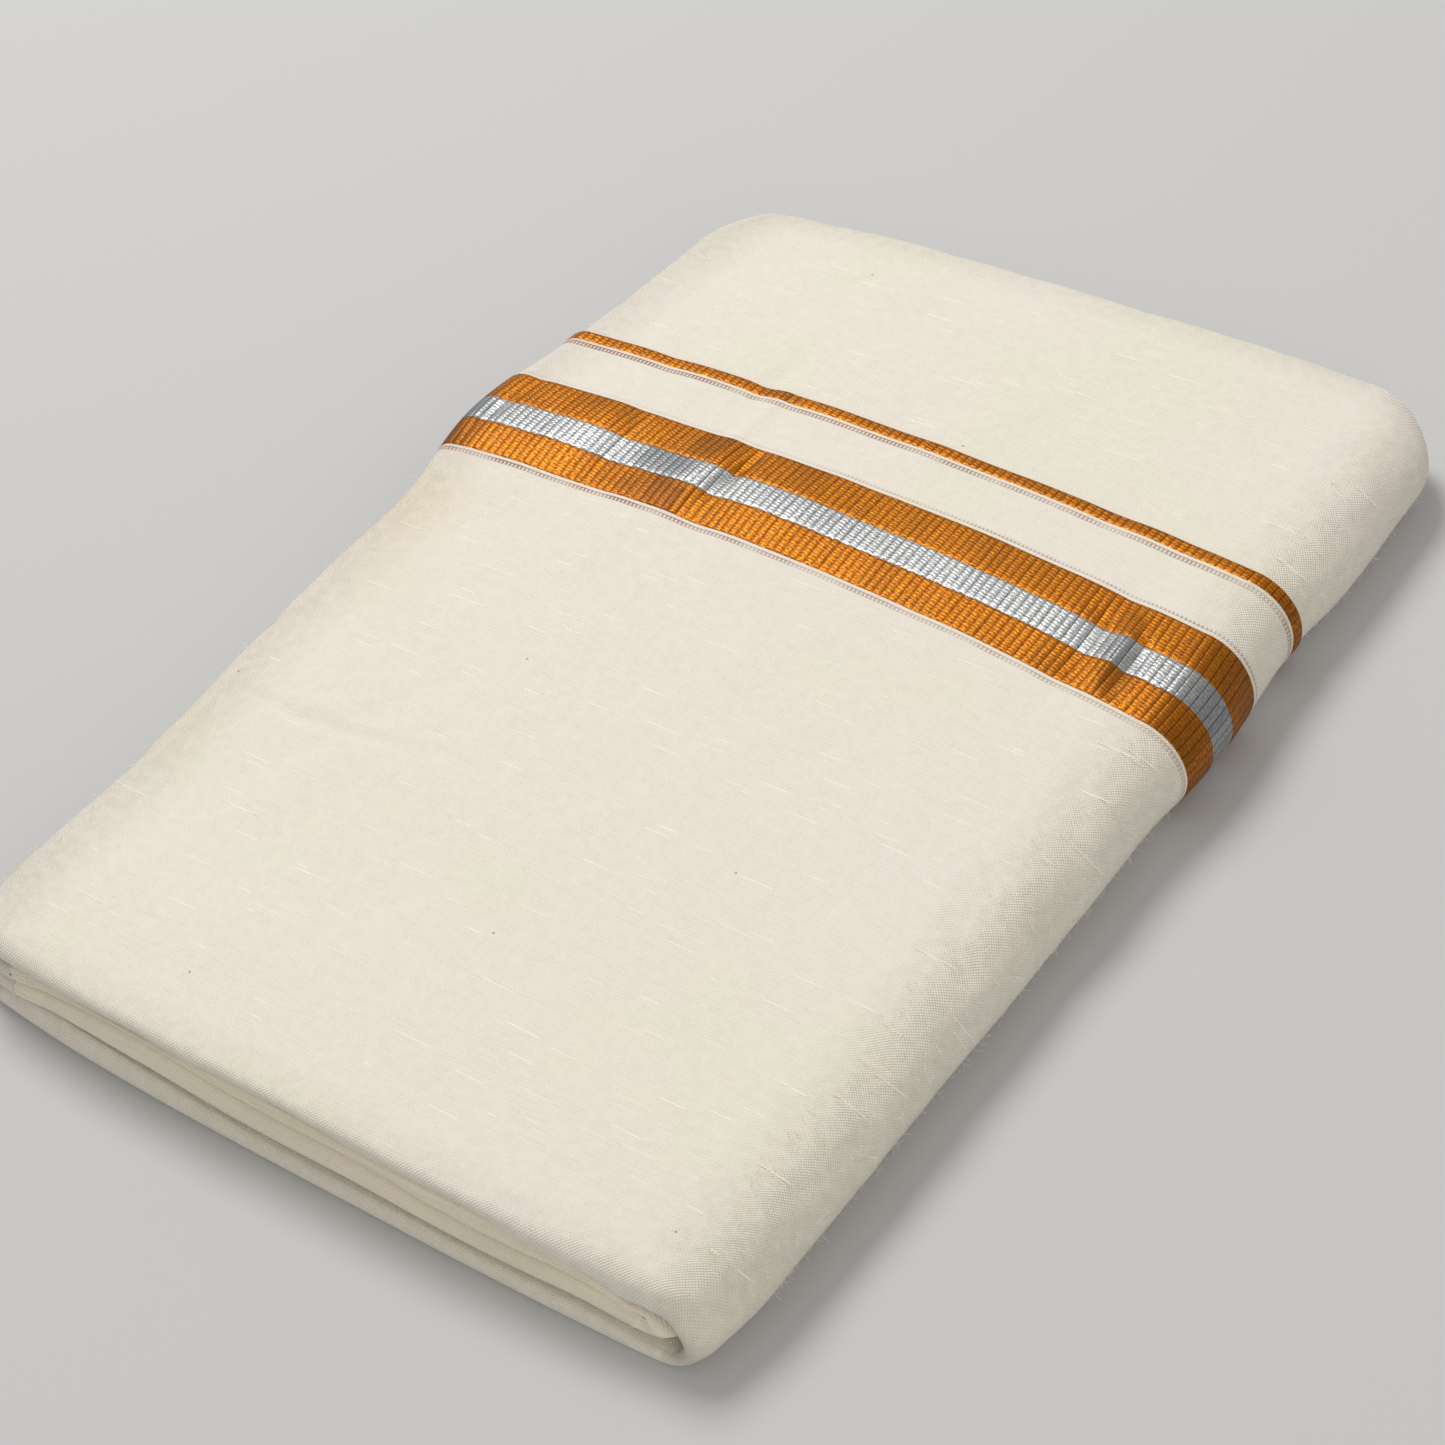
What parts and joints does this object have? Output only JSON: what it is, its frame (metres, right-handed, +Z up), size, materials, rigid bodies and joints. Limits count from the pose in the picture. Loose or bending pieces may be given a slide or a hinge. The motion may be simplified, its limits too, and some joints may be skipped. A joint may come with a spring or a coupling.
{
  "type": "folded dhoti cloth",
  "caption": "Cream cotton dhoti folded into a flat packet, with ribbed gold and silver border stripes and a narrow gold selvedge across it.",
  "frame": {"origin": "middle of the packet's footprint, on its underside", "axes": "+X across the packet towards the big round fold, +Y along it from the lipped near end to the far end, +Z up"},
  "size_m": [0.2522, 0.3526, 0.0334],
  "materials": {
    "cream_cotton": "plain handloom cotton, off-white, with a slight slub",
    "gold_zari": "ribbed metallic orange-gold thread",
    "silver_zari": "ribbed metallic silver thread"
  },
  "bodies": {
    "root": {"ground_near": "cream_cotton", "kara_gold_near": "gold_zari", "kara_silver": "silver_zari", "kara_gold_far": "gold_zari", "ground_between_stripes": "cream_cotton", "selvedge_gold": "gold_zari", "ground_far": "cream_cotton", "inner_layers": "cream_cotton"}
  },
  "joints": []
}
